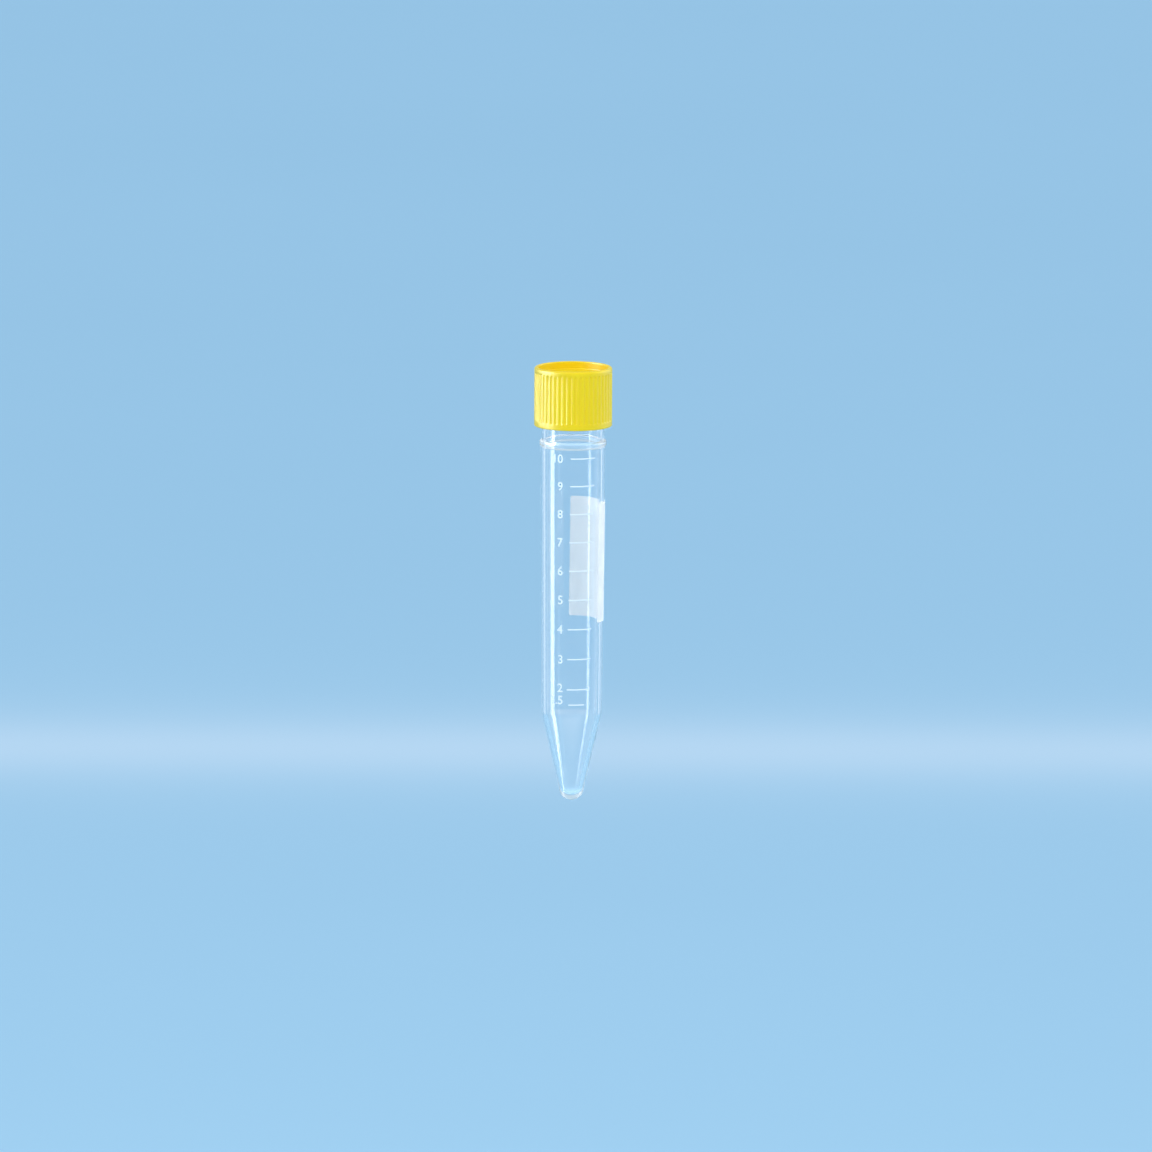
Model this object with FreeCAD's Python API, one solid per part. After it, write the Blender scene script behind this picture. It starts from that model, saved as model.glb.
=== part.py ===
import FreeCAD, Part
import math
import os

# A conical-base test tube with a screw cap, standing on its tip. Millimetres and degrees, +Z up.
# The origin is the lowest point of the tip, on the tube's axis. The front faces -Y.
# A height is a Z value; an azimuth is measured from the front (-Y) towards the right (+X).

# ---------------------------------------------------------------- the tube's driving sizes
GATE_RADIUS = 0.45            # stub that the moulding gate leaves on the tip
GATE_HEIGHT = 0.15
TIP_RADIUS = 2.4              # where the cone's line would meet the underside of the tip
SHOULDER_HEIGHT = 22.05       # where the cone meets the wall
SHOULDER_RADIUS = 7.5
SHOULDER_BLEND = 3.0
BODY_RADIUS = 8.0             # true cylinder below the collar, the part that a rack holds
BODY_LAND_LENGTH = 10.0
WALL_AT_SHOULDER = 1.09
BORE_DRAFT = 0.367            # the core's draft, degrees a side
FLOOR_THICKNESS = 1.53        # over the tip
BORE_TIP_RADIUS = 1.52        # where the bore's cone would meet its floor
COLLAR_HEIGHT = 89.5          # middle of the bead
COLLAR_THICKNESS = 1.8
COLLAR_PROUD = 0.27           # how far the bead stands out of the body
NECK_STEP = 0.26              # how far the neck is set in from the body
RIM_FILLET = 0.25

# ---------------------------------------------------------------- the thread's driving sizes
THREAD_STARTS = 2
THREAD_PITCH = 3.0            # from one ridge to the next
THREAD_TURNS = 0.8            # each start, on the neck and in the cap
THREAD_DEPTH = 0.5
THREAD_ROOT_SHARE = 0.56      # a ridge's width at its foot, as a share of the pitch
THREAD_CREST_SHARE = 0.27     # and at its crest
THREAD_CLEARANCE = 0.12       # radial, at both crests
THREAD_BELOW_RIM = 1.9        # from the rim down to the middle of the top end of the neck's ridges
THREAD_ROOTED = 0.2           # how deep a ridge is rooted in its wall

# ---------------------------------------------------------------- the cap's and liner's driving sizes
COLLAR_TO_CAP = 4.2           # from the middle of the bead to the skirt's lower edge
CAP_HEIGHT = 14.7
CAP_WALL = 1.07               # behind the flutes
CAP_RIM_WIDTH = 0.95          # the raised edge round the recessed top
CAP_RIM_FILLET = 0.6
CAP_RECESS_FILLET = 0.33
CAP_MOUTH_FILLET = 0.3
RECESS_DEPTH = 2.0
ROOF_THICKNESS = 1.3
RIB_COUNT = 48
FLUTE_RADIUS = 0.45           # the round-bottomed flutes between the ribs
FLUTE_DEPTH = 0.2
TOP_BAND = 1.1                # plain band above the flutes
BOTTOM_BAND = 1.3
CAP_THREAD_LIFT = 1.6         # from the skirt's lower edge to the middle of the low end of the cap's ridges
LINER_THICKNESS = 1.0
LINER_CLEARANCE = 0.1         # radial, in the cap's bore

# ---------------------------------------------------------------- the prints' driving sizes
INK = 0.06                    # thickness of a printed layer
FIRST_VOLUME = 1500.0         # lowest line, cubic millimetres
VOLUME_STEP = 1000.0          # from 2 mL up, one line for each millilitre
MARGIN_BELOW_COLLAR = 1.0     # lines stop this far below the collar
LINE_THICKNESS = 0.32
LINE_START = -3.8             # azimuth of the top line's left end
LINE_SPAN = 46.0              # angle that a line covers
LINE_DRIFT = 6.0              # how far the print turns to the left from the top line to the 2 mL line
SHORT_LINE_INSET = 4.0        # the lowest line is shorter at its left end
SHORT_LINE_SPAN = 29.5
NUMERAL_AZIMUTH = -22.6       # middle of the column of last digits
DIGIT_HEIGHT = 2.15
DIGIT_WIDTH = 1.32
DIGIT_STROKE = 0.3
LOWER_BOWL = 0.56             # the lower bowl of 3, 5, 6 and 8, as a share of half the height
DIGIT_GAP = 0.3
POINT_WIDTH = 0.5             # the space that a decimal point takes
NUMERAL_RAISES = (1.18, 0.43) # the two lowest numerals stand above their lines, to clear each other
PANEL_BELOW_COLLAR = 13.6     # from the collar's lower edge to the panel's top
PANEL_LENGTH = 29.9
PANEL_START = 54.0
PANEL_SPAN = 131.6

# ---------------------------------------------------------------- sizes worked out from them
collar_bottom = COLLAR_HEIGHT - COLLAR_THICKNESS / 2
collar_top = COLLAR_HEIGHT + COLLAR_THICKNESS / 2
collar_radius = BODY_RADIUS + COLLAR_PROUD
land_bottom = collar_bottom - BODY_LAND_LENGTH
neck_radius = BODY_RADIUS - NECK_STEP

cap_bottom = COLLAR_HEIGHT + COLLAR_TO_CAP
cap_top = cap_bottom + CAP_HEIGHT
roof_top = cap_top - RECESS_DEPTH
roof_bottom = roof_top - ROOF_THICKNESS
rim_height = roof_bottom - LINER_THICKNESS

floor_height = GATE_HEIGHT + FLOOR_THICKNESS
bore_shoulder_radius = SHOULDER_RADIUS - WALL_AT_SHOULDER
cone_angle = math.atan2(SHOULDER_RADIUS - TIP_RADIUS, SHOULDER_HEIGHT - GATE_HEIGHT)
bore_cone_angle = math.atan2(bore_shoulder_radius - BORE_TIP_RADIUS, SHOULDER_HEIGHT - floor_height)
# one arc rounds the tip, from the gate's stub to the cone, and one rounds the bore's floor
nose_radius = (TIP_RADIUS - GATE_RADIUS) * math.tan((math.pi / 2 + cone_angle) / 2)
bore_nose_radius = BORE_TIP_RADIUS * math.tan((math.pi / 2 + bore_cone_angle) / 2)
print_bottom = SHOULDER_HEIGHT + SHOULDER_BLEND / 4

cap_bore_radius = neck_radius + THREAD_DEPTH + THREAD_CLEARANCE
cap_radius = cap_bore_radius + CAP_WALL + FLUTE_DEPTH
recess_radius = cap_radius - CAP_RIM_WIDTH
liner_radius = cap_bore_radius - LINER_CLEARANCE

thread_lead = THREAD_STARTS * THREAD_PITCH
thread_root_width = THREAD_ROOT_SHARE * THREAD_PITCH
thread_crest_width = THREAD_CREST_SHARE * THREAD_PITCH
thread_rise = THREAD_TURNS * thread_lead
neck_thread_start = rim_height - THREAD_BELOW_RIM - thread_rise
cap_thread_start = cap_bottom + CAP_THREAD_LIFT
# the cap's ridges lie midway between the neck's
cap_thread_angle = (cap_thread_start - neck_thread_start - THREAD_PITCH / 2) / thread_lead * 360


def wall_radius(z):
    """The outside of the drafted wall, between the shoulder and the true cylinder below the collar."""
    share = (z - SHOULDER_HEIGHT) / (land_bottom - SHOULDER_HEIGHT)
    return SHOULDER_RADIUS + (BODY_RADIUS - SHOULDER_RADIUS) * min(share, 1.0)


def bore_radius(z):
    """The bore above the shoulder, which widens upwards by the core's draft."""
    return bore_shoulder_radius + (z - SHOULDER_HEIGHT) * math.tan(math.radians(BORE_DRAFT))


# ---------------------------------------------------------------- helpers
ORIGIN = FreeCAD.Vector(0, 0, 0)
AXIS = FreeCAD.Vector(0, 0, 1)
SAME_POINT = 1e-6             # closer than this, two points of an outline are one


def unit(dx, dz):
    length = math.hypot(dx, dz)
    return dx / length, dz / length


def fillet_points(before, corner, after, radius):
    """Start, middle and end of the arc of this radius that rounds a corner of an outline."""
    ax, az = unit(before[0] - corner[0], before[1] - corner[1])
    bx, bz = unit(after[0] - corner[0], after[1] - corner[1])
    half = math.acos(ax * bx + az * bz) / 2
    reach = radius / math.tan(half)
    mx, mz = unit(ax + bx, az + bz)
    middle = radius / math.sin(half) - radius
    return (
        (corner[0] + ax * reach, corner[1] + az * reach),
        (corner[0] + mx * middle, corner[1] + mz * middle),
        (corner[0] + bx * reach, corner[1] + bz * reach),
    )


def turned(corners, start=0.0, sweep=360.0):
    """The solid that a closed outline sweeps round Z. A corner is (r, z) or (r, z, fillet radius)."""
    stops = []
    for i, corner in enumerate(corners):
        before = corners[i - 1]
        after = corners[(i + 1) % len(corners)]
        points = fillet_points(before, corner, after, corner[2]) if len(corner) == 3 else [corner]
        stops.append([FreeCAD.Vector(r, 0, z) for r, z in points])
    edges = []
    for stop, following in zip(stops, stops[1:] + stops[:1]):
        if len(stop) == 3:
            edges.append(Part.Arc(*stop).toShape())
        if stop[-1].distanceToPoint(following[0]) > SAME_POINT:
            edges.append(Part.makeLine(stop[-1], following[0]))
    solid = Part.Face(Part.Wire(edges)).revolve(ORIGIN, AXIS, sweep)
    solid.rotate(ORIGIN, AXIS, start)
    return solid


def azimuth_sector(r_in, r_out, z_low, z_high, azimuth, span):
    """A block between two radii, two heights and two azimuths."""
    outline = [(r_in, z_low), (r_out, z_low), (r_out, z_high), (r_in, z_high)]
    return turned(outline, azimuth - 90, span)


def thread_ridges(wall, crest, start_height, start_angle):
    """The ridges of a multi-start thread, each rooted in its wall and pointing to its crest radius."""
    outwards = 1 if crest > wall else -1
    root = wall - outwards * THREAD_ROOTED
    slope = (thread_root_width - thread_crest_width) / 2 / abs(crest - wall)
    half_root = thread_root_width / 2 + slope * THREAD_ROOTED
    half_crest = thread_crest_width / 2
    corners = [(root, -half_root), (crest, -half_crest), (crest, half_crest), (root, half_root)]
    ridges = []
    for start in range(THREAD_STARTS):
        path = Part.Wire(Part.makeHelix(thread_lead, thread_rise, wall))
        section = Part.makePolygon([FreeCAD.Vector(r, 0, z) for r, z in corners + corners[:1]])
        ridge = path.makePipeShell([section], True, True)
        ridge.rotate(ORIGIN, AXIS, start_angle + start * 360 / THREAD_STARTS)
        ridge.translate(FreeCAD.Vector(0, 0, start_height))
        ridges.append(ridge)
    return ridges


# ---------------------------------------------------------------- the mouldings
def make_tube():
    bead_slope = COLLAR_THICKNESS / 4
    outline = [
        (0, 0),
        (GATE_RADIUS, 0),
        (GATE_RADIUS, GATE_HEIGHT),
        (TIP_RADIUS, GATE_HEIGHT, nose_radius),
        (SHOULDER_RADIUS, SHOULDER_HEIGHT, SHOULDER_BLEND),
        (BODY_RADIUS, land_bottom),
        (BODY_RADIUS, collar_bottom),
        (collar_radius, collar_bottom + bead_slope, bead_slope),
        (collar_radius, collar_top - bead_slope, bead_slope),
        (neck_radius, collar_top),
        (neck_radius, rim_height, RIM_FILLET),
        (bore_radius(rim_height), rim_height, RIM_FILLET),
        (bore_shoulder_radius, SHOULDER_HEIGHT, SHOULDER_BLEND),
        (BORE_TIP_RADIUS, floor_height, bore_nose_radius),
        (0, floor_height),
    ]
    return turned(outline).fuse(thread_ridges(neck_radius, neck_radius + THREAD_DEPTH, neck_thread_start, 0))


def make_cap():
    outline = [
        (cap_radius, cap_bottom, CAP_MOUTH_FILLET),
        (cap_radius, cap_top, CAP_RIM_FILLET),
        (recess_radius, cap_top, CAP_RECESS_FILLET),
        (recess_radius, roof_top, CAP_RECESS_FILLET),
        (0, roof_top),
        (0, roof_bottom),
        (cap_bore_radius, roof_bottom),
        (cap_bore_radius, cap_bottom, CAP_MOUTH_FILLET),
    ]
    cap = turned(outline)
    flute_length = CAP_HEIGHT - TOP_BAND - BOTTOM_BAND
    flutes = []
    for i in range(RIB_COUNT):
        angle = math.radians((i + 0.5) * 360 / RIB_COUNT)
        reach = cap_radius + FLUTE_RADIUS - FLUTE_DEPTH
        foot = FreeCAD.Vector(reach * math.cos(angle), reach * math.sin(angle), cap_bottom + BOTTOM_BAND)
        flutes.append(Part.makeCylinder(FLUTE_RADIUS, flute_length, foot))
    cap = cap.cut(Part.makeCompound(flutes))
    crest = cap_bore_radius - THREAD_DEPTH
    return cap.fuse(thread_ridges(cap_bore_radius, crest, cap_thread_start, cap_thread_angle))


def make_liner():
    return Part.makeCylinder(liner_radius, LINER_THICKNESS, FreeCAD.Vector(0, 0, rim_height))


# ---------------------------------------------------------------- the prints
def bore_volume(z):
    """What the tube holds up to a height: the round floor, the cone and the drafted bore."""
    nose_height = bore_nose_radius * (1 - math.sin(bore_cone_angle))
    nose_edge = bore_nose_radius * math.cos(bore_cone_angle)
    volume = math.pi * nose_height**2 * (3 * bore_nose_radius - nose_height) / 3
    volume += frustum(nose_edge, bore_shoulder_radius, SHOULDER_HEIGHT - floor_height - nose_height)
    return volume + frustum(bore_shoulder_radius, bore_radius(z), z - SHOULDER_HEIGHT)


def frustum(r_low, r_high, height):
    return math.pi * height * (r_low**2 + r_low * r_high + r_high**2) / 3


def fill_height(volume):
    """The height that a volume fills the tube to, above the shoulder, by halving."""
    low, high = SHOULDER_HEIGHT, rim_height
    while high - low > 1e-4:
        middle = (low + high) / 2
        if bore_volume(middle) < volume:
            low = middle
        else:
            high = middle
    return (low + high) / 2


def printed_volumes():
    """The lowest line, then each millilitre that fits above the shoulder and below the collar."""
    room = collar_bottom - MARGIN_BELOW_COLLAR
    steps = range(1, int(bore_volume(room) / VOLUME_STEP) + 1)
    volumes = [FIRST_VOLUME] + [n * VOLUME_STEP for n in steps if n * VOLUME_STEP > FIRST_VOLUME]
    return [v for v in volumes if bore_volume(print_bottom + LINE_THICKNESS) < v]


def ink_layer():
    """The layer of ink that every print is cut from: it lies on the whole wall, from shoulder to collar."""
    outline = [
        (wall_radius(print_bottom), print_bottom),
        (wall_radius(print_bottom) + INK, print_bottom),
        (BODY_RADIUS + INK, land_bottom),
        (BODY_RADIUS + INK, collar_bottom),
        (BODY_RADIUS, collar_bottom),
        (BODY_RADIUS, land_bottom),
    ]
    return turned(outline)


def make_lines(layer, volumes):
    top = fill_height(volumes[-1])
    drift_span = top - fill_height(2 * VOLUME_STEP)
    lines = []
    for volume in volumes:
        height = fill_height(volume)
        start = LINE_START - LINE_DRIFT * (top - height) / drift_span
        span = LINE_SPAN
        if volume < 2 * VOLUME_STEP:
            start += SHORT_LINE_INSET
            span = SHORT_LINE_SPAN
        low = height - LINE_THICKNESS / 2
        stamp = azimuth_sector(bore_shoulder_radius, collar_radius, low, low + LINE_THICKNESS, start, span)
        lines.append(layer.common(stamp))
    return Part.makeCompound(lines)


def dot(x, y, radius=DIGIT_STROKE / 2):
    """A round dot standing on the XY plane."""
    return Part.makeCylinder(radius, BODY_RADIUS, FreeCAD.Vector(x, y, 0))


def bar(x0, y0, x1, y1):
    """A straight stroke of a digit with round ends, standing on the XY plane."""
    length = math.hypot(x1 - x0, y1 - y0)
    block = Part.makeBox(length, DIGIT_STROKE, BODY_RADIUS, FreeCAD.Vector(0, -DIGIT_STROKE / 2, 0))
    block.rotate(ORIGIN, AXIS, math.degrees(math.atan2(y1 - y0, x1 - x0)))
    block.translate(FreeCAD.Vector(x0, y0, 0))
    return [block, dot(x0, y0), dot(x1, y1)]


def bow(x, y, radius, start, end):
    """A round stroke of a digit about (x, y), anticlockwise from start to end, standing on the XY plane."""
    centre = FreeCAD.Vector(x, y, 0)
    outer = Part.makeCylinder(radius + DIGIT_STROKE / 2, BODY_RADIUS, centre, AXIS, end - start)
    ring = outer.cut(Part.makeCylinder(radius - DIGIT_STROKE / 2, BODY_RADIUS, centre, AXIS))
    ring.rotate(centre, AXIS, start)
    ends = [math.radians(start), math.radians(end)]
    return [ring] + [dot(x + radius * math.cos(a), y + radius * math.sin(a)) for a in ends]


def character_strokes():
    """The strokes of each plain upright character, centred on the origin."""
    w = (DIGIT_WIDTH - DIGIT_STROKE) / 2
    h = (DIGIT_HEIGHT - DIGIT_STROKE) / 2
    low = LOWER_BOWL * h
    high = h - low
    point = 0.65 * DIGIT_STROKE
    lower_bowl = bow(0, low - h, low, 0, 360)
    upper_bowl = bow(0, h - low, low, 0, 360)
    zero_ends = bow(0, h - w, w, 0, 180) + bow(0, w - h, w, 180, 360)
    five_top = bar(-0.77 * low, 1.64 * low - h, -0.7 * w, h) + bar(-0.7 * w, h, 0.85 * w, h)
    return {
        "0": zero_ends + bar(-w, w - h, -w, h - w) + bar(w, w - h, w, h - w),
        "1": bar(w / 5, -h, w / 5, h) + bar(w / 5, h, -0.7 * w, h / 2),
        "2": bow(0, h - w, w, -35, 165) + bar(0.82 * w, h - 1.57 * w, -w, -h) + bar(-w, -h, w, -h),
        "3": bow(0, h - high, high, -90, 155) + bow(0, low - h, low, -155, 90),
        "4": bar(0.4 * w, -h, 0.4 * w, h) + bar(0.4 * w, h, -w, -0.4 * h) + bar(-w, -0.4 * h, w, -0.4 * h),
        "5": bow(0, low - h, low, -150, 140) + five_top,
        "6": lower_bowl + bow(0, h - low, low, 50, 180) + bar(-low, low - h, -low, h - low),
        "7": bar(-w, h, w, h) + bar(w, h, -0.3 * w, -h),
        "8": lower_bowl + bow(0, h - high, high, 0, 360),
        "9": upper_bowl + bow(0, low - h, low, 230, 360) + bar(low, low - h, low, h - low),
        ".": [dot(0, point - DIGIT_HEIGHT / 2, point)],
    }


def character_places(text, height):
    """Each character and its azimuth: the last one stands in its column, the others to the left of it."""
    degrees_per_mm = math.degrees(1 / wall_radius(height))
    places = []
    reach = 0.0
    for index, character in enumerate(reversed(text)):
        half_width = (POINT_WIDTH if character == "." else DIGIT_WIDTH) / 2
        if index > 0:
            reach += DIGIT_GAP + half_width
        places.append((character, NUMERAL_AZIMUTH - reach * degrees_per_mm))
        reach += half_width
    return places


def make_numerals(layer, volumes):
    """Each line's number in millilitres, stamped square on the wall, character by character."""
    strokes = character_strokes()
    characters = []
    for index, volume in enumerate(volumes):
        height = fill_height(volume)
        if volumes[0] < VOLUME_STEP * 2 and index < len(NUMERAL_RAISES):
            height += NUMERAL_RAISES[index]
        for character, azimuth in character_places(f"{volume / 1000:g}", height):
            first, *others = strokes[character]
            stamp = first.fuse(others) if others else first.copy()
            stamp.rotate(ORIGIN, FreeCAD.Vector(1, 0, 0), 90)
            stamp.translate(FreeCAD.Vector(0, -BODY_RADIUS / 2, height))
            stamp.rotate(ORIGIN, AXIS, azimuth)
            characters += layer.common(stamp).Solids
    return Part.makeCompound(characters)


def make_panel(layer):
    top = collar_bottom - PANEL_BELOW_COLLAR
    bottom = top - PANEL_LENGTH
    sector = azimuth_sector(bore_shoulder_radius, collar_radius, bottom, top, PANEL_START, PANEL_SPAN)
    return layer.common(sector)


# ---------------------------------------------------------------- build and write
def main():
    layer = ink_layer()
    volumes = printed_volumes()
    nodes = {
        "tube": make_tube(),
        "screw_cap": make_cap(),
        "sealing_liner": make_liner(),
        "graduation_lines": make_lines(layer, volumes),
        "graduation_numerals": make_numerals(layer, volumes),
        "writing_panel": make_panel(layer),
    }
    os.makedirs("parts", exist_ok=True)
    for name, shape in nodes.items():
        shape.exportStep(f"parts/{name}.step")
        box = shape.BoundBox
        print(f"{name}: {len(shape.Solids)} solid(s), {shape.Volume:.2f} mm3, valid {shape.isValid()},"
              f" z {box.ZMin:.2f} to {box.ZMax:.2f}")
    print("overall height", round(cap_top, 2), "cap radius", round(cap_radius, 3))
    print("lines", [(v / 1000, round(fill_height(v), 2)) for v in volumes])


main()
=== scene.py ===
# %% [markdown]
# # A screw-cap test tube
#
# The real object is a small graduated tube of clear, stiff plastic with a cone at its foot,
# closed by a ribbed yellow screw cap with a soft sealing disc inside. White ink carries the
# lines and their numbers, and a pale panel on the far side is there to be written on.
#
# Every piece below is a surface worked out with numpy. Most of them are turned: an outline
# in (radius, height) is carried round the axis, as a lathe or a round mould would do it.
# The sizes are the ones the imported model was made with, in millimetres, and each mesh is
# scaled to metres once, when it is built.

# %% The frame that everything is built round
import math

import bmesh
import bpy
import numpy as np
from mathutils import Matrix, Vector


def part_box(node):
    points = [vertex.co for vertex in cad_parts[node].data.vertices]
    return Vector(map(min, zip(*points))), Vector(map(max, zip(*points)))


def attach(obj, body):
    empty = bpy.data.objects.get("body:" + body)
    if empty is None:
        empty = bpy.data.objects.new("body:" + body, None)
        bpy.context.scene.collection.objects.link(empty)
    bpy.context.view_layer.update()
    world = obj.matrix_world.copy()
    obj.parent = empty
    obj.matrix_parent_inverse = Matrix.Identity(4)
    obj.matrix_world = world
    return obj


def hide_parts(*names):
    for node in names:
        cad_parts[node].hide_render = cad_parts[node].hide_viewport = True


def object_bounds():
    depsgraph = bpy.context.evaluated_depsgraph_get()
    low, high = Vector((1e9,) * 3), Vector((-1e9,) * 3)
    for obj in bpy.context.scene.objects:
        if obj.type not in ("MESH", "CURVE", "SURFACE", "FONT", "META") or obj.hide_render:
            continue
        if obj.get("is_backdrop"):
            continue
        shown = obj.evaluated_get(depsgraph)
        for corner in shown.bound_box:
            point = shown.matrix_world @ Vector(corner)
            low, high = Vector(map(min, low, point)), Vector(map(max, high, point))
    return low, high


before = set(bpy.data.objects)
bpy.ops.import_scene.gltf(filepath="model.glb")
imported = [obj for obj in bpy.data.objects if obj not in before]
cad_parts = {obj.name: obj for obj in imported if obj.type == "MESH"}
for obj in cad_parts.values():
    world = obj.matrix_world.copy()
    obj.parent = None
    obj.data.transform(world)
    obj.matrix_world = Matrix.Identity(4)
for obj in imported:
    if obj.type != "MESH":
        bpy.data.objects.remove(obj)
cad_low, cad_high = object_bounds()

MM = 0.001


def span_of(node):
    """A node's lowest and highest height, in millimetres."""
    low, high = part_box(node)
    return low.z / MM, high.z / MM


TUBE_FOOT, RIM = span_of("tube")
SKIRT_EDGE, CAP_TOP = span_of("screw_cap")
LINER_LOW, LINER_HIGH = span_of("sealing_liner")
CAP_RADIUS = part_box("screw_cap")[1].x / MM
print(f"tube up to {RIM:.2f}, cap from {SKIRT_EDGE:.2f} to {CAP_TOP:.2f} mm")
print(f"cap radius {CAP_RADIUS:.2f} mm")

# %% [markdown]
# ## Outlines with rounded corners
#
# Moulded plastic has no sharp edges, and on clear plastic it is the small round edges that
# catch the light. So an outline is a short list of corners, each with the radius that it is
# rounded to. An arc replaces the corner, and one more point a little way along each side
# keeps the shading of the long straight walls flat right up to the arc. Where two arcs
# nearly meet, those extra points each take no more than a third of what is left between.

# %% Rounded corners
ARC_STEPS = 7
GUARD = 0.25
LONGEST_GUARD = 0.1
SHARE_OF_GAP = 1 / 3


def rounded(corners, steps=ARC_STEPS):
    """Points along an outline whose corners are (radius, height) or (radius, height, fillet).

    Where the outline turns by t, the arc starts at fillet x tan(t / 2) before the corner and
    ends as far after it. Its centre lies on the bisector at fillet / cos(t / 2), and its
    points turn evenly between the two ends.
    """
    places = np.array([c[:2] for c in corners], float)
    fillets = np.array([c[2] if len(c) == 3 else 0.0 for c in corners])
    legs = np.roll(places, -1, axis=0) - places
    lengths = np.linalg.norm(legs, axis=1)
    ways = legs / lengths[:, None]
    cosines = np.einsum("ij,ij->i", ways, np.roll(ways, 1, axis=0))
    turns = np.arccos(np.clip(cosines, -1, 1))
    reaches = fillets * np.tan(turns / 2)
    left_over = lengths - reaches - np.roll(reaches, -1)
    points = []
    for i, fillet in enumerate(fillets):
        if fillet == 0:
            points.append(places[i][None])
            continue
        u, v, turn = -ways[i - 1], ways[i], turns[i]
        first, last = places[i] + u * reaches[i], places[i] + v * reaches[i]
        centre = places[i] + (u + v) / np.linalg.norm(u + v) * fillet / math.cos(turn / 2)
        share = np.linspace(0, 1, steps)[:, None]
        arc = np.sin((1 - share) * turn) * (first - centre)
        arc = arc + np.sin(share * turn) * (last - centre)
        guard = min(GUARD * fillet, LONGEST_GUARD)
        before = first + u * min(guard, left_over[i - 1] * SHARE_OF_GAP)
        after = last + v * min(guard, left_over[i] * SHARE_OF_GAP)
        points += [before[None], centre + arc / math.sin(turn), after[None]]
    return np.concatenate(points)


# %% [markdown]
# ## Turning an outline into a solid
#
# A turned surface is a grid: one parameter runs along the outline, the other round the
# axis. Angles are counted from the front, which is -Y, towards +X. Every outline starts and
# ends on the axis, and the grid closes there in a fan of triangles on a single point. If the
# volume comes out negative the faces point inwards, so they are all turned round.

# %% Meshes from arrays
def grid_quads(rows, columns):
    """The quads of a grid of points, numbered row by row, where each row is a closed ring."""
    numbers = np.arange(rows * columns).reshape(rows, columns)
    numbers = np.concatenate([numbers, numbers[:, :1]], axis=1)
    a, b = numbers[:-1, :-1], numbers[:-1, 1:]
    c, d = numbers[1:, 1:], numbers[1:, :-1]
    return np.stack([a, b, c, d], axis=-1).reshape(-1, 4)


def signed_volume(points, quads, triangles):
    """A sixth of the sum of the triple products of every triangle's corners."""
    fans = np.concatenate([quads[:, [0, 1, 2]], quads[:, [0, 2, 3]], triangles])
    a, b, c = points[fans[:, 0]], points[fans[:, 1]], points[fans[:, 2]]
    return np.einsum("ij,ij->", a, np.cross(b, c)) / 6


def add_piece(name, points, quads, triangles=np.empty((0, 3), int)):
    """A smooth-shaded mesh object: points in millimetres, faces as arrays of point numbers."""
    volume = signed_volume(points, quads, triangles)
    if volume < 0:
        quads, triangles = quads[:, ::-1], triangles[:, ::-1]
    loops = np.concatenate([quads.ravel(), triangles.ravel()])
    starts = np.concatenate([
        np.arange(len(quads)) * 4,
        len(quads) * 4 + np.arange(len(triangles)) * 3,
    ])
    mesh = bpy.data.meshes.new(name)
    mesh.vertices.add(len(points))
    mesh.vertices.foreach_set("co", (points * MM).astype(np.float32).ravel())
    mesh.loops.add(len(loops))
    mesh.loops.foreach_set("vertex_index", loops.astype(np.int32))
    mesh.polygons.add(len(starts))
    mesh.polygons.foreach_set("loop_start", starts.astype(np.int32))
    mesh.update(calc_edges=True)
    mesh.validate()
    mesh.shade_smooth()
    piece = bpy.data.objects.new(name, mesh)
    bpy.context.scene.collection.objects.link(piece)
    faces = 2 * len(quads) + len(triangles)
    print(f"{name}: {len(points)} points, {faces} triangles, {abs(volume):.1f} cubic mm")
    return piece


# %% Turned pieces
ON_AXIS = 1e-6


def turned(name, outline, columns, shape=None):
    """Carries an outline of (radius, height) round the axis.

    The point at azimuth f is (radius sin f, -radius cos f, height). shape(azimuth, radius,
    height) gives the radius again, changed where there are ribs or threads. Rows on the axis
    are left out of the grid and become one point each.
    """
    on_axis = outline[:, 0] < ON_AXIS
    rows = outline[~on_axis]
    azimuth = np.linspace(0, 2 * np.pi, columns, endpoint=False)[None, :]
    radius = np.repeat(rows[:, :1], columns, axis=1)
    height = np.repeat(rows[:, 1:], columns, axis=1)
    if shape is not None:
        radius = shape(azimuth, radius, height)
    grid = np.stack([radius * np.sin(azimuth), -radius * np.cos(azimuth), height], axis=-1)
    poles = np.concatenate([np.zeros((on_axis.sum(), 1)), outline[on_axis]], axis=1)
    points = np.concatenate([grid.reshape(-1, 3), poles])
    ring = np.arange(columns)
    end = ring + (len(rows) - 1) * columns
    first, last = len(rows) * columns, len(rows) * columns + 1
    triangles = np.concatenate([
        np.stack([np.roll(ring, -1), ring, np.full(columns, first)], axis=1),
        np.stack([end, np.roll(end, -1), np.full(columns, last)], axis=1),
    ])
    return add_piece(name, points, grid_quads(len(rows), columns), triangles)


# %% [markdown]
# ## The thread
#
# A coarse two-start thread holds the cap, so that half a turn is enough to lift it a good
# way. Its ridges could be swept along a helix and joined to the wall, but a seam would show
# in clear plastic. Here the wall itself swells: the grid's rows are close together there, and
# each point moves out by how near it is to the ridge's middle line.

# %% A ridge as a swelling of the wall
THREAD_STARTS = 2
THREAD_LEAD = 6.0
THREAD_TURNS = 0.8
THREAD_DEPTH = 0.5
THREAD_ROOT = 1.68
THREAD_CREST = 0.81
RUN_OUT = 0.03
THREAD_ROW = 0.12
THREAD_MARGIN = 0.1


def eased(share):
    """0 below 0 and 1 above 1, with a smooth S between: 3 s squared less 2 s cubed."""
    share = np.clip(share, 0, 1)
    return share * share * (3 - 2 * share)


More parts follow.
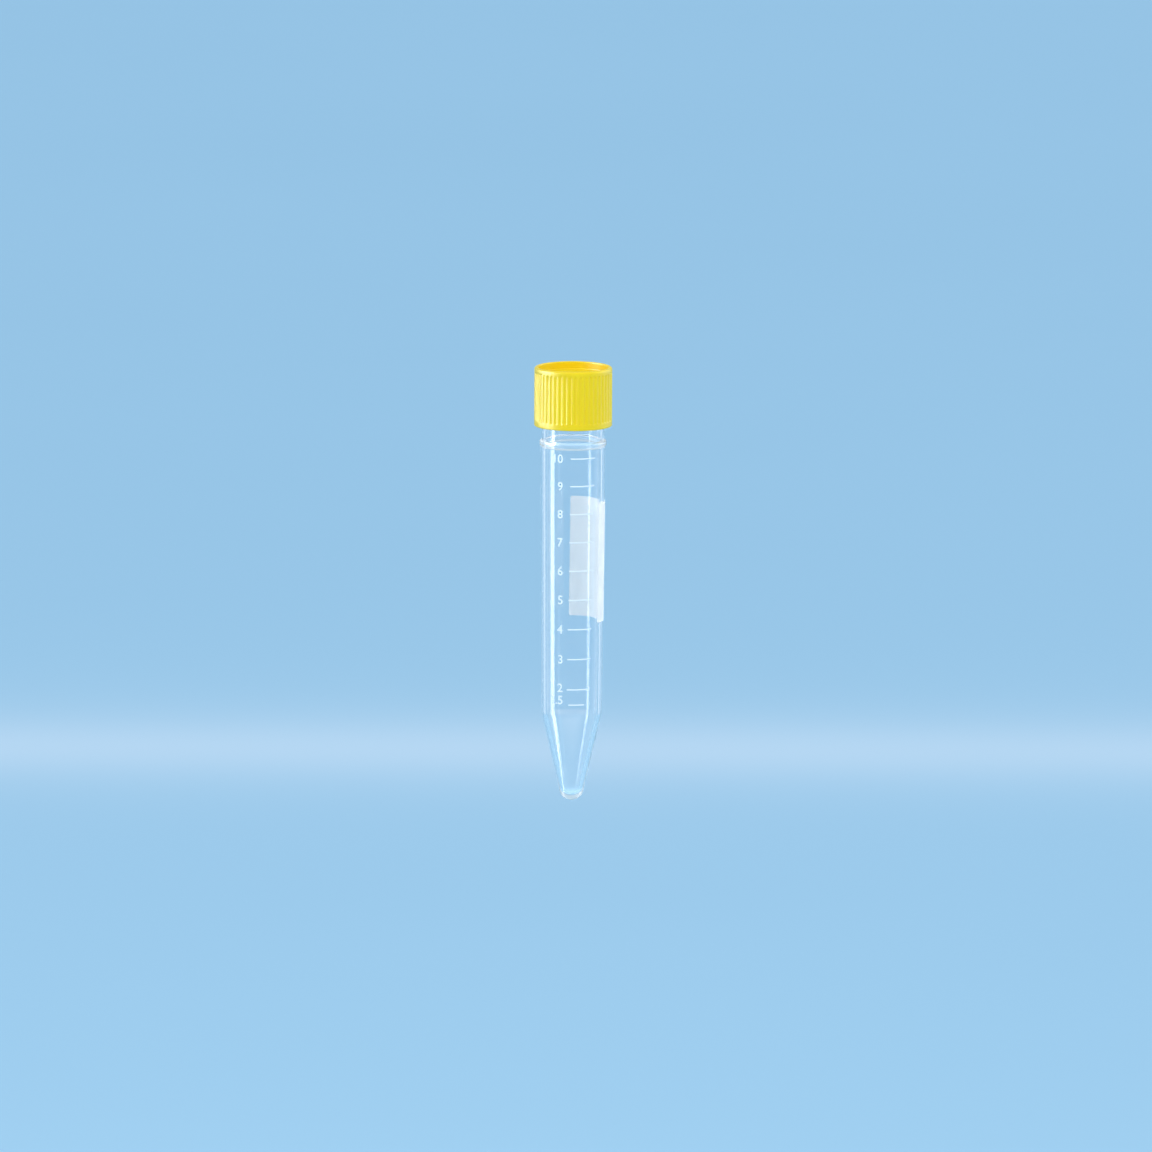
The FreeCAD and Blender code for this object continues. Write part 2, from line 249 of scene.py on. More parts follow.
def thread_height(azimuth, height, foot, foot_angle):
    """How far the ridges stand up from the wall at each point.

    Each start begins at foot_angle plus its share of a turn and rises one lead a turn. A
    point is turned back to the number of turns since the start; the ridge's middle is at foot
    + turns x lead there, and its flank falls from crest to root with the distance from it.
    Both ends run out over a small part of a turn.
    """
    total = np.zeros(np.broadcast(azimuth, height).shape)
    for start in range(THREAD_STARTS):
        begin = foot_angle + start * 2 * np.pi / THREAD_STARTS
        turns = np.mod((azimuth - begin) / (2 * np.pi), 1.0)
        away = np.abs(height - foot - turns * THREAD_LEAD)
        flank = (THREAD_ROOT / 2 - away) / ((THREAD_ROOT - THREAD_CREST) / 2)
        ends = eased(turns / RUN_OUT) * eased((THREAD_TURNS - turns) / RUN_OUT)
        total += eased(flank) * ends
    return THREAD_DEPTH * total


def thread_rows(radius, foot, upwards=True):
    """Points on a straight wall, close enough together to carry the ridges."""
    beyond = THREAD_ROOT / 2 + THREAD_MARGIN
    top = foot + THREAD_TURNS * THREAD_LEAD
    heights = np.arange(foot - beyond, top + beyond, THREAD_ROW)
    heights = heights if upwards else heights[::-1]
    return [(radius, h) for h in heights]


# %% [markdown]
# ## The tube
#
# The tube is injection moulded in one piece. Its wall is about a millimetre thick and its
# bore narrows a little towards the foot, so that it comes off the core. A bead runs round it
# under the thread. The outline goes up the outside, over the rim and down the bore. Inside
# and outside both matter here, because light passes both.

# %% The tube's outline
GATE_RADIUS, GATE_HEIGHT, GATE_ROUND = 0.45, 0.15, 0.05
TIP_RADIUS = 2.4
BORE_TIP_RADIUS, BORE_TIP_ROUND, BORE_FOOT = 1.52, 1.92, 1.68
NECK_RADIUS = 7.74
BODY_RADIUS = 8.0
LAND_LOW = 78.6
BEAD_LOW, BEAD_HIGH = 88.6, 90.4
BEAD_RADIUS = 8.27
BEAD_ROUND, BEAD_TOP_ROUND = 0.45, 0.405
BEAD_FOOT_ROUND, BEAD_NECK_ROUND = 0.12, 0.1
SHOULDER_RADIUS, SHOULDER_HEIGHT, SHOULDER_ROUND = 7.5, 22.05, 3.0
RIM_ROUND = 0.25
BORE_RIM_RADIUS, BORE_SHOULDER_RADIUS = 6.935, 6.41
NECK_THREAD_FOOT = 97.4
NECK_THREAD_ANGLE = math.radians(90)
SAME = 0.01
TUBE_COLUMNS = 256

tube_outline = rounded([
    (0, TUBE_FOOT),
    (GATE_RADIUS, TUBE_FOOT, GATE_ROUND),
    (GATE_RADIUS, GATE_HEIGHT),
    (TIP_RADIUS, GATE_HEIGHT, TIP_RADIUS),
    (SHOULDER_RADIUS, SHOULDER_HEIGHT, SHOULDER_ROUND),
    (BODY_RADIUS, LAND_LOW),
    (BODY_RADIUS, BEAD_LOW, BEAD_FOOT_ROUND),
    (BEAD_RADIUS, BEAD_LOW + BEAD_ROUND, BEAD_ROUND),
    (BEAD_RADIUS, BEAD_HIGH - BEAD_ROUND, BEAD_TOP_ROUND),
    (NECK_RADIUS, BEAD_HIGH, BEAD_NECK_ROUND),
    *thread_rows(NECK_RADIUS, NECK_THREAD_FOOT),
    (NECK_RADIUS, RIM, RIM_ROUND),
    (BORE_RIM_RADIUS, RIM, RIM_ROUND),
    (BORE_SHOULDER_RADIUS, SHOULDER_HEIGHT, SHOULDER_ROUND),
    (BORE_TIP_RADIUS, BORE_FOOT, BORE_TIP_ROUND),
    (0, BORE_FOOT),
])


def neck_with_thread(azimuth, radius, height):
    """The neck's rows swell out by the ridges' height; the other rows stay."""
    on_neck = (np.abs(radius - NECK_RADIUS) < SAME) & (height > BEAD_HIGH)
    ridges = thread_height(azimuth, height, NECK_THREAD_FOOT, NECK_THREAD_ANGLE)
    return radius + on_neck * ridges


tube = turned("clear_tube", tube_outline, TUBE_COLUMNS, neck_with_thread)
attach(tube, "vessel")
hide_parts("tube")

# %% [markdown]
# ## The cap
#
# The cap is moulded in yellow plastic: a skirt with fine flutes for the fingers, plain bands
# above and below them, and a top that is sunk inside a rounded rim. Cutting 48 flutes out
# one by one would be slow and leave hard edges, so here too the wall's own radius changes:
# it follows the flutes' round bottoms, and it fades to the plain bands at both ends.

# %% The cap's outline and flutes
BORE_RADIUS = 8.36
RECESS_RADIUS = CAP_RADIUS - 0.95
RECESS_FLOOR = CAP_TOP - 2.0
FLUTE_COUNT = 48
FLUTE_RADIUS = 0.45
FLUTE_DEPTH = 0.2
FLUTE_LOW, FLUTE_HIGH = SKIRT_EDGE + 1.3, CAP_TOP - 1.1
FLUTE_FADE, FADE_ROWS = 0.5, 7
FLUTE_SOFT = 0.06
COLUMNS_A_FLUTE = 12
SKIRT_ROUND, TOP_ROUND, RECESS_ROUND, ROOF_ROUND = 0.3, 0.6, 0.33, 0.15
CAP_THREAD_FOOT = SKIRT_EDGE + 1.6
CAP_THREAD_ANGLE = math.radians(90 - 216)

fade_heights = np.concatenate([
    np.linspace(FLUTE_LOW, FLUTE_LOW + FLUTE_FADE, FADE_ROWS),
    np.linspace(FLUTE_HIGH - FLUTE_FADE, FLUTE_HIGH, FADE_ROWS),
])
cap_outline = rounded([
    (0, LINER_HIGH),
    (BORE_RADIUS, LINER_HIGH, ROOF_ROUND),
    *thread_rows(BORE_RADIUS, CAP_THREAD_FOOT, upwards=False),
    (BORE_RADIUS, SKIRT_EDGE, SKIRT_ROUND),
    (CAP_RADIUS, SKIRT_EDGE, SKIRT_ROUND),
    *[(CAP_RADIUS, h) for h in fade_heights],
    (CAP_RADIUS, CAP_TOP, TOP_ROUND),
    (RECESS_RADIUS, CAP_TOP, RECESS_ROUND),
    (RECESS_RADIUS, RECESS_FLOOR, RECESS_ROUND),
    (0, RECESS_FLOOR),
])


def skirt_with_flutes(azimuth, radius, height):
    """Flutes outside, thread inside.

    A flute is a circle whose middle lies just outside the skirt, at reach from the axis. At
    an angle d off its middle line its bottom is at reach cos d - root of (flute radius
    squared - (reach sin d) squared). The skirt keeps the smaller of that and its own radius,
    softened with a square root so that the ribs' edges are round.
    """
    pitch = 2 * np.pi / FLUTE_COUNT
    off = np.mod(azimuth, pitch) - pitch / 2
    reach = CAP_RADIUS + FLUTE_RADIUS - FLUTE_DEPTH
    inside = np.maximum(FLUTE_RADIUS**2 - (reach * np.sin(off)) ** 2, 0)
    depth = CAP_RADIUS - (reach * np.cos(off) - np.sqrt(inside))
    depth = (depth + np.sqrt(depth**2 + FLUTE_SOFT**2)) / 2
    inwards = np.minimum(height - FLUTE_LOW, FLUTE_HIGH - height)
    on_skirt = (np.abs(radius - CAP_RADIUS) < SAME) * eased(inwards / FLUTE_FADE)
    on_bore = (np.abs(radius - BORE_RADIUS) < SAME) & (height < LINER_LOW)
    ridges = on_bore * thread_height(azimuth, height, CAP_THREAD_FOOT, CAP_THREAD_ANGLE)
    return radius - on_skirt * depth - ridges


cap = turned("ribbed_cap", cap_outline, FLUTE_COUNT * COLUMNS_A_FLUTE, skirt_with_flutes)
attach(cap, "cap")
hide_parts("screw_cap")

# %% [markdown]
# ## The sealing disc
#
# A soft disc of white foam lies in the cap's roof, and the tube's rim bites into it when the
# cap is tight. It is stamped from sheet, so its edge is nearly square. A disc this thin
# is turned like the rest, a hair thinner than the room it has, so that no two faces coincide.

# %% The sealing disc
LINER_RADIUS, LINER_ROUND = 8.26, 0.12
LINER_COLUMNS, LINER_ARC_STEPS = 128, 5
HAIR = 0.005

liner_outline = rounded([
    (0, LINER_LOW + HAIR),
    (LINER_RADIUS, LINER_LOW + HAIR, LINER_ROUND),
    (LINER_RADIUS, LINER_HIGH - HAIR, LINER_ROUND),
    (0, LINER_HIGH - HAIR),
], LINER_ARC_STEPS)
liner = turned("foam_liner", liner_outline, LINER_COLUMNS)
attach(liner, "seal")
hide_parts("sealing_liner")

# %% [markdown]
# ## Ink on a round wall
#
# Screen-printed ink is a thin film with soft edges that follows the wall. Each line and the
# panel are patches of such a film: a grid in angle and height whose corners are rounded, with
# a face on the outside, one just under the wall's surface, and a low edge between them. The
# film is rooted a hundredth of a millimetre in the wall, because real ink is bonded to it.

# %% Patches of ink
INK = 0.06
ROOTED = 0.01
EDGE = 0.03
CORNER_ROWS = 6


def wall_radius(height):
    """The outside of the tube's wall: it widens evenly from the shoulder to the plain part."""
    share = np.clip((height - SHOULDER_HEIGHT) / (LAND_LOW - SHOULDER_HEIGHT), 0, 1)
    return SHOULDER_RADIUS + (BODY_RADIUS - SHOULDER_RADIUS) * share


def on_wall(azimuth, height, proud):
    """Points at an azimuth and height, standing proud of the wall by that much."""
    radius = wall_radius(height) + proud
    return np.stack([radius * np.sin(azimuth), -radius * np.cos(azimuth), height], axis=-1)


def with_edges(half, inner_count):
    """Places from -half to half with one more close to each end, for the film's soft edge."""
    inner = np.linspace(-half + EDGE, half - EDGE, inner_count)
    return np.concatenate([[-half], inner, [half]])


def ink_patch(middle, width, low, high, corner, columns, rows):
    """One closed patch of film: its points and its quads.

    Along each row the half width shrinks near the top and bottom by corner - root of
    (corner squared - rise squared), rise being how far the row is into the rounded corner.
    The outer sheet drops to half its thickness along the border.
    """
    half_height = (high - low) / 2
    rise = with_edges(half_height, rows)
    bends = half_height - corner * (1 - np.sin(np.linspace(0, np.pi / 2, CORNER_ROWS)))
    rise = np.unique(np.round(np.concatenate([rise, bends, -bends]), 5))
    into = np.clip(np.abs(rise) - (half_height - corner), 0, corner)
    half_width = width / 2 - corner + np.sqrt(corner**2 - into**2)
    across = with_edges(1.0, columns)
    across[1], across[-2] = -1 + 2 * EDGE / width, 1 - 2 * EDGE / width
    proud = np.full((len(rise), len(across)), INK)
    proud[[0, -1], :] = INK / 2
    proud[:, [0, -1]] = INK / 2
    height = np.repeat((low + high) / 2 + rise[:, None], len(across), axis=1)
    azimuth = middle + half_width[:, None] * across[None, :] / wall_radius(height)
    outer = on_wall(azimuth, height, proud)
    inner = on_wall(azimuth, height, -ROOTED)[:, ::-1]
    loop = np.concatenate([outer, inner], axis=1)
    quads = grid_quads(*loop.shape[:2])
    count = len(across)
    near = np.arange(count - 1)
    far = 2 * count - 1 - near
    foot = np.stack([near + 1, near, far, far - 1], axis=1)
    head = foot[:, ::-1] + (len(rise) - 1) * 2 * count
    return loop.reshape(-1, 3), np.concatenate([quads, foot, head])


def add_patches(name, patches):
    """Several patches as one mesh, each one's point numbers following the last one's."""
    all_points, all_quads, count = [], [], 0
    for points, quads in patches:
        all_points.append(points)
        all_quads.append(quads + count)
        count += len(points)
    return add_piece(name, np.concatenate(all_points), np.concatenate(all_quads))


# %% [markdown]
# ## Graduation lines
#
# There is a line for each millilitre from 2 to 10 and a shorter one for 1.5. Their heights
# are where the bore holds those volumes, so they come a little closer together as the
# bore widens. The print is turned a few degrees to the left from the top line down.

# %% Graduation lines
LINES = {
    "1.5": 24.91, "2": 28.74, "3": 36.33, "4": 43.81, "5": 51.17,
    "6": 58.44, "7": 65.60, "8": 72.67, "9": 79.64, "10": 86.52,
}
LINE_THICKNESS, LINE_CORNER = 0.32, 0.08
LINE_COLUMNS, LINE_ROWS = 32, 3
LINE_START, LINE_SPAN, LINE_DRIFT = -3.8, 46.0, 6.0
SHORT_INSET, SHORT_SPAN = 4.0, 29.5

line_patches = []
half = LINE_THICKNESS / 2
for volume, height in LINES.items():
    start = LINE_START - LINE_DRIFT * (LINES["10"] - height) / (LINES["10"] - LINES["2"])
    span = LINE_SPAN
    if volume == "1.5":
        start, span = start + SHORT_INSET, SHORT_SPAN
    width = math.radians(span) * wall_radius(height)
    middle = math.radians(start + span / 2)
    line_patches.append(ink_patch(
        middle, width, height - half, height + half, LINE_CORNER, LINE_COLUMNS, LINE_ROWS
    ))
lines = add_patches("printed_lines", line_patches)
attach(lines, "vessel")
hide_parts("graduation_lines")

# %% [markdown]
# ## Numerals
#
# The numbers are plain upright digits. Blender's own font gives clean outlines: each number
# is set as text, made a little bolder, turned into a mesh, cut into narrow upright strips
# so that it can bend, and then wrapped onto the wall, x becoming an angle and y a height.
# Each number is level with its line, except the lowest two, which stand a little higher.

# %% Numerals wrapped onto the wall
NUMERAL_MIDDLE = math.radians(-22.6)
DIGIT_WIDTH, DIGIT_HEIGHT = 1.32, 2.15
BOLD = 0.01
STRIP = 0.25
CURVE_STEPS = 4
WELD = 1e-5
RAISED = {"1.5": 1.18, "2": 0.43}


def number_mesh(text):
    """A number as a mesh of closed characters, in the font's own units and one unit thick."""
    curve = bpy.data.curves.new("number", "FONT")
    curve.body = text
    curve.offset = BOLD
    curve.extrude = 0.5
    curve.resolution_u = CURVE_STEPS
    setting = bpy.data.objects.new("number", curve)
    bpy.context.scene.collection.objects.link(setting)
    bpy.context.view_layer.update()
    evaluated = setting.evaluated_get(bpy.context.evaluated_depsgraph_get())
    mesh = bpy.data.meshes.new_from_object(evaluated)
    bpy.data.objects.remove(setting)
    bpy.data.curves.remove(curve)
    return mesh


def wrap_number(mesh, height):
    """Scales a number to its size, cuts it into strips and wraps it onto the wall.

    Every number's right-hand end is half a digit to the right of the column's middle line.
    """
    work = bmesh.new()
    work.from_mesh(mesh)
    bmesh.ops.remove_doubles(work, verts=work.verts, dist=WELD)
    xs = [v.co.x for v in work.verts]
    ys = [v.co.y for v in work.verts]
    scale = DIGIT_HEIGHT / (max(ys) - min(ys))
    for cut in np.arange(min(xs), max(xs), STRIP / scale)[1:]:
        everything = work.verts[:] + work.edges[:] + work.faces[:]
        bmesh.ops.bisect_plane(work, geom=everything, plane_co=(cut, 0, 0), plane_no=(1, 0, 0))
    bmesh.ops.triangulate(work, faces=work.faces[:])
    work.to_mesh(mesh)
    work.free()
    flat = np.empty(len(mesh.vertices) * 3)
    mesh.vertices.foreach_get("co", flat)
    flat = flat.reshape(-1, 3)
    across = (flat[:, 0] - max(xs)) * scale + DIGIT_WIDTH / 2
    up = height + (flat[:, 1] - (min(ys) + max(ys)) / 2) * scale
    proud = np.where(flat[:, 2] > 0, INK, -ROOTED)
    points = on_wall(NUMERAL_MIDDLE + across / wall_radius(height), up, proud)
    corners = np.empty(len(mesh.loops), int)
    mesh.loops.foreach_get("vertex_index", corners)
    return points, corners.reshape(-1, 3)


number_points, number_triangles = [], []
for volume, height in LINES.items():
    points, triangles = wrap_number(number_mesh(volume), height + RAISED.get(volume, 0))
    number_triangles.append(triangles + sum(len(p) for p in number_points))
    number_points.append(points)
numerals = add_piece(
    "printed_numerals",
    np.concatenate(number_points),
    np.empty((0, 4), int),
    np.concatenate(number_triangles),
)
numerals.data.shade_flat()
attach(numerals, "vessel")
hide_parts("graduation_numerals")

# %% [markdown]
# ## Writing panel
#
# A pale panel of matt, half-clear ink covers more than a third of the way round. It is
# one large patch of the same film.

# %% Writing panel
PANEL_LOW, PANEL_HIGH = span_of("writing_panel")
PANEL_START, PANEL_SPAN = math.radians(54.0), math.radians(131.6)
PANEL_CORNER = 0.5
PANEL_COLUMNS, PANEL_ROWS = 96, 24

panel_middle = PANEL_START + PANEL_SPAN / 2
panel_width = PANEL_SPAN * wall_radius((PANEL_LOW + PANEL_HIGH) / 2)
panel = add_piece("writing_panel_print", *ink_patch(
    panel_middle, panel_width, PANEL_LOW, PANEL_HIGH, PANEL_CORNER, PANEL_COLUMNS, PANEL_ROWS
))
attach(panel, "vessel")
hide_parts("writing_panel")

# %% [markdown]
# ## Finishes
#
# Each finish is one shader whose steady values sit on its own sockets. What varies over the
# surface - a cloudy tint, a change of gloss, a fine grain - comes from noise on object
# coordinates, which are the same as the model's own metres.

# %% Shader helpers
NOISE_LOW, NOISE_HIGH = 0.3, 0.7


def new_finish(name):
    """A new material with its node tree: a Principled shader joined to the output."""
    material = bpy.data.materials.new(name)
    material.use_nodes = True
    tree = material.node_tree
    shader = next(n for n in tree.nodes if n.type == "BSDF_PRINCIPLED")
    return material, tree, shader


def to_socket(tree, value, socket):
    """A value into a socket: another node's output is linked, a plain number is set."""
    if isinstance(value, float):
        socket.default_value = value
    else:
        tree.links.new(value, socket)


def to_surface(tree, result):
    """A shader's result into the material's output."""
    output = next(n for n in tree.nodes if n.type == "OUTPUT_MATERIAL")
    tree.links.new(result, output.inputs["Surface"])


def noise(tree, scale, detail=3.0, stretch=(1, 1, 1)):
    """Noise on object coordinates: scale is how many blotches there are in a metre."""
    place = tree.nodes.new("ShaderNodeTexCoord")
    mapping = tree.nodes.new("ShaderNodeMapping")
    mapping.inputs["Scale"].default_value = stretch
    texture = tree.nodes.new("ShaderNodeTexNoise")
    texture.inputs["Scale"].default_value = scale
    texture.inputs["Detail"].default_value = detail
    tree.links.new(place.outputs["Object"], mapping.inputs["Vector"])
    tree.links.new(mapping.outputs["Vector"], texture.inputs["Vector"])
    return texture.outputs["Fac"]


def ranged(tree, value, low, high):
    """Noise between its usual lowest and highest values, spread from low to high."""
    node = tree.nodes.new("ShaderNodeMapRange")
    node.inputs["From Min"].default_value = NOISE_LOW
    node.inputs["From Max"].default_value = NOISE_HIGH
    node.inputs["To Min"].default_value = low
    node.inputs["To Max"].default_value = high
    tree.links.new(value, node.inputs["Value"])
    return node.outputs["Result"]


def tinted(tree, value, first, second):
    """A colour that runs from the first to the second as the noise rises."""
    node = tree.nodes.new("ShaderNodeValToRGB")
    node.color_ramp.elements[0].position = NOISE_LOW
    node.color_ramp.elements[0].color = (*first, 1)
    node.color_ramp.elements[1].position = NOISE_HIGH
    node.color_ramp.elements[1].color = (*second, 1)
    tree.links.new(value, node.inputs["Fac"])
    return node.outputs["Color"]


def bumped(tree, shader, value, depth):
    """Bump on the shader from a value, depth metres high."""
    node = tree.nodes.new("ShaderNodeBump")
    node.inputs["Distance"].default_value = depth
    node.inputs["Strength"].default_value = 1.0
    tree.links.new(value, node.inputs["Height"])
    tree.links.new(node.outputs["Normal"], shader.inputs["Normal"])


# %% [markdown]
# The clear plastic is as clear as the mould was polished. The bead's mould is not polished
# as well as the rest, so the bead is a little hazy. A band in height and radius picks it out.

# %% The band that picks out the bead
BAND_EDGE = 0.15


def step_over(tree, value, start, end):
    """0 where the value is at start, 1 where it is at end, a smooth step between."""
    node = tree.nodes.new("ShaderNodeMapRange")
    node.interpolation_type = "SMOOTHSTEP"
    node.inputs["From Min"].default_value = start * MM
    node.inputs["From Max"].default_value = end * MM
    tree.links.new(value, node.inputs["Value"])
    return node.outputs["Result"]


def product(tree, first, second):
    """One value times another."""
    node = tree.nodes.new("ShaderNodeMath")
    node.operation = "MULTIPLY"
    tree.links.new(first, node.inputs[0])
    tree.links.new(second, node.inputs[1])
    return node.outputs[0]


def bead_band(tree):
    """1 on the bead's outside: between its lowest and highest edge, and outside the neck."""
    place = tree.nodes.new("ShaderNodeTexCoord")
    flat = tree.nodes.new("ShaderNodeVectorMath")
    flat.operation = "MULTIPLY"
    flat.inputs[1].default_value = (1, 1, 0)
    tree.links.new(place.outputs["Object"], flat.inputs[0])
    length = tree.nodes.new("ShaderNodeVectorMath")
    length.operation = "LENGTH"
    tree.links.new(flat.outputs[0], length.inputs[0])
    split = tree.nodes.new("ShaderNodeSeparateXYZ")
    tree.links.new(place.outputs["Object"], split.inputs[0])
    above = step_over(tree, split.outputs["Z"], BEAD_LOW - BAND_EDGE, BEAD_LOW + BAND_EDGE)
    below = step_over(tree, split.outputs["Z"], BEAD_HIGH + BAND_EDGE, BEAD_HIGH - BAND_EDGE)
    outside = step_over(tree, length.outputs["Value"], NECK_RADIUS - BAND_EDGE, NECK_RADIUS)
    return product(tree, product(tree, above, below), outside)


def blended(tree, share, plain, special):
    """plain x (1 - share) + special x share; plain may be a socket or a number."""
    node = tree.nodes.new("ShaderNodeMapRange")
    tree.links.new(share, node.inputs["Value"])
    node.inputs["To Max"].default_value = special
    to_socket(tree, plain, node.inputs["To Min"])
    return node.outputs["Result"]


# %% [markdown]
# Stiff clear plastic bends light a little more than window glass does, which its index of
# 1.59 says, and it is very faintly blue. Lamps would hardly find their way through two curved
# walls, so for shadow rays alone the tube is a thin tinted film, and the ink is lit straight
# through it. The mould's polishing leaves long ripples, a bump too low to feel.

# %% Clear plastic
CLEARNESS, BEAD_CLEARNESS = 0.992, 0.9
BEAD_ROUGHNESS = 0.2

clear, tree, shader = new_finish("clear_plastic")
shader.inputs["IOR"].default_value = 1.59
cloud = noise(tree, 120)
tint = tinted(tree, cloud, (0.97, 0.985, 1.0), (0.99, 0.995, 1.0))
tree.links.new(tint, shader.inputs["Base Color"])
on_bead = bead_band(tree)
smooth = ranged(tree, cloud, 0.02, 0.035)
tree.links.new(blended(tree, on_bead, smooth, BEAD_ROUGHNESS), shader.inputs["Roughness"])
passed = blended(tree, on_bead, CLEARNESS, BEAD_CLEARNESS)
tree.links.new(passed, shader.inputs["Transmission Weight"])
bumped(tree, shader, noise(tree, 90, 2.0, (1, 1, 0.12)), 0.000002)
lamps_pass = tree.nodes.new("ShaderNodeBsdfTransparent")
lamps_pass.inputs["Color"].default_value = (0.93, 0.95, 0.97, 1)
ray = tree.nodes.new("ShaderNodeLightPath")
either = tree.nodes.new("ShaderNodeMixShader")
tree.links.new(ray.outputs["Is Shadow Ray"], either.inputs[0])
tree.links.new(shader.outputs[0], either.inputs[1])
tree.links.new(lamps_pass.outputs[0], either.inputs[2])
to_surface(tree, either.outputs[0])
tube.data.materials.append(clear)
print(f"{clear.name} on {tube.name}: {len(tree.nodes)} nodes")

# %% [markdown]
# The cap is opaque yellow plastic with a soft sheen. A little light enters it and comes out
# close by, more of the red than of the blue. Subsurface scattering imitates that, where a
# plain colour would look like paint. The tint runs in long clouds, as pigment does in a
# mould, and a fine grain breaks up the gloss.

# %% Yellow plastic
yellow, tree, shader = new_finish("yellow_plastic")
shader.inputs["IOR"].default_value = 1.51
shader.inputs["Specular IOR Level"].default_value = 0.3
shader.inputs["Subsurface Weight"].default_value = 0.1
shader.inputs["Subsurface Radius"].default_value = (1.0, 0.7, 0.15)
shader.inputs["Subsurface Scale"].default_value = 0.0012
flow = noise(tree, 160, 4.0, (1, 1, 0.4))
tint = tinted(tree, flow, (0.88, 0.60, 0.002), (0.92, 0.63, 0.004))
tree.links.new(tint, shader.inputs["Base Color"])
tree.links.new(ranged(tree, noise(tree, 900), 0.34, 0.42), shader.inputs["Roughness"])
bumped(tree, shader, noise(tree, 6000, 2.0), 0.000008)
cap.data.materials.append(yellow)
print(f"{yellow.name} on {cap.name}: {len(tree.nodes)} nodes")

# %% [markdown]
# The sealing disc is foam, matt and slightly uneven. Its bubbles could be modelled as
# thousands of tiny dents, but they are far too small to be seen one by one, so one fine noise
# stands for them in tint, roughness and bump.

# %% Liner foam
foam, tree, shader = new_finish("liner_foam")
cells = noise(tree, 2600, 5.0)
tint = tinted(tree, cells, (0.78, 0.78, 0.75), (0.90, 0.90, 0.88))
tree.links.new(tint, shader.inputs["Base Color"])
tree.links.new(ranged(tree, cells, 0.75, 0.95), shader.inputs["Roughness"])
bumped(tree, shader, cells, 0.00004)
liner.data.materials.append(foam)
print(f"{foam.name} on {liner.name}: {len(tree.nodes)} nodes")

# %% [markdown]
# Screen-printed ink is opaque but not quite even, because it goes through the mesh of a
# screen. One fine noise gives its slight changes of tint, gloss and thickness. Lines and
# numerals are printed in one go, so they share the finish.

# %% White ink
white, tree, shader = new_finish("white_ink")
shader.inputs["Specular IOR Level"].default_value = 0.4
grain = noise(tree, 5000, 3.0)
tint = tinted(tree, grain, (0.76, 0.81, 0.86), (0.84, 0.88, 0.92))
tree.links.new(tint, shader.inputs["Base Color"])
tree.links.new(ranged(tree, grain, 0.45, 0.65), shader.inputs["Roughness"])
bumped(tree, shader, grain, 0.00001)
lines.data.materials.append(white)
numerals.data.materials.append(white)
print(f"{white.name} on {lines.name} and {numerals.name}: {len(tree.nodes)} nodes")

# %% [markdown]
# The panel's ink is thinner and matt, so that a pencil marks it, and light comes through it
# from both sides. One alpha value could only make it fainter. Two mixes say what the real
# film does: part of the light is scattered back, part is scattered through, and about a
# third goes straight on.

# %% Panel ink
SCATTERED = 0.6

matt, tree, shader = new_finish("panel_ink")
grain = noise(tree, 4000, 4.0)
tint = tinted(tree, grain, (0.86, 0.88, 0.90), (0.92, 0.93, 0.94))
tree.links.new(tint, shader.inputs["Base Color"])
tree.links.new(ranged(tree, grain, 0.55, 0.75), shader.inputs["Roughness"])
bumped(tree, shader, grain, 0.00001)
glow = tree.nodes.new("ShaderNodeBsdfTranslucent")
glow.inputs["Color"].default_value = (0.97, 0.96, 0.95, 1)
scatter = tree.nodes.new("ShaderNodeMixShader")
scatter.inputs[0].default_value = SCATTERED
tree.links.new(shader.outputs[0], scatter.inputs[1])
tree.links.new(glow.outputs[0], scatter.inputs[2])
through = tree.nodes.new("ShaderNodeBsdfTransparent")
film = tree.nodes.new("ShaderNodeMixShader")
tree.links.new(ranged(tree, grain, 0.28, 0.36), film.inputs[0])
tree.links.new(scatter.outputs[0], film.inputs[1])
tree.links.new(through.outputs[0], film.inputs[2])
to_surface(tree, film.outputs[0])
panel.data.materials.append(matt)
print(f"{matt.name} on {panel.name}: {len(tree.nodes)} nodes")

# %% [markdown]
# ## The studio
#
# The tube hangs above a plain pale blue floor that lies well below it, so that nothing but
# an even tone is seen through the plastic. A long low lamp warms the floor a little, far
# behind the tube.

# %% Floor and sky
FLOOR_HEIGHT = -0.25
FLOOR_REACH = 12.0

floor_mesh = bpy.data.meshes.new("studio_floor")
floor_corners = [
    (-FLOOR_REACH, -FLOOR_REACH, FLOOR_HEIGHT),
    (FLOOR_REACH, -FLOOR_REACH, FLOOR_HEIGHT),
    (FLOOR_REACH, FLOOR_REACH, FLOOR_HEIGHT),
    (-FLOOR_REACH, FLOOR_REACH, FLOOR_HEIGHT),
]
floor_mesh.from_pydata(floor_corners, [], [(0, 1, 2, 3)])
floor = bpy.data.objects.new("studio_floor", floor_mesh)
bpy.context.scene.collection.objects.link(floor)
floor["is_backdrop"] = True
paper, tree, shader = new_finish("floor_paper")
shader.inputs["Roughness"].default_value = 0.9
shader.inputs["Specular IOR Level"].default_value = 0.1
speck = noise(tree, 3.0)
tint = tinted(tree, speck, (0.55, 0.79, 0.97), (0.56, 0.80, 0.98))
tree.links.new(tint, shader.inputs["Base Color"])
floor.data.materials.append(paper)

sky = bpy.data.worlds.new("studio_sky")
sky.use_nodes = True
background = sky.node_tree.nodes["Background"]
background.inputs["Color"].default_value = (0.62, 0.80, 0.94, 1)
background.inputs["Strength"].default_value = 0.85
bpy.context.scene.world = sky
print(f"{floor.name} {-FLOOR_HEIGHT:.2f} m below the tube's foot, under {sky.name}")

# %% [markdown]
# Clear plastic shows the lights more than itself, so tall strips of light stand round it. A
# bright one at the left, with a wider halo behind it, and a weak one at the right draw the
# lines down its sides; four faint ones further back draw its rims. The strips are there for
# shine and for what is seen through the plastic only. Two small lamps close by put the gloss
# on the cap, and broad ones above, beside, in front and behind light the yellow plastic and
# the ink, without showing in the clear plastic.

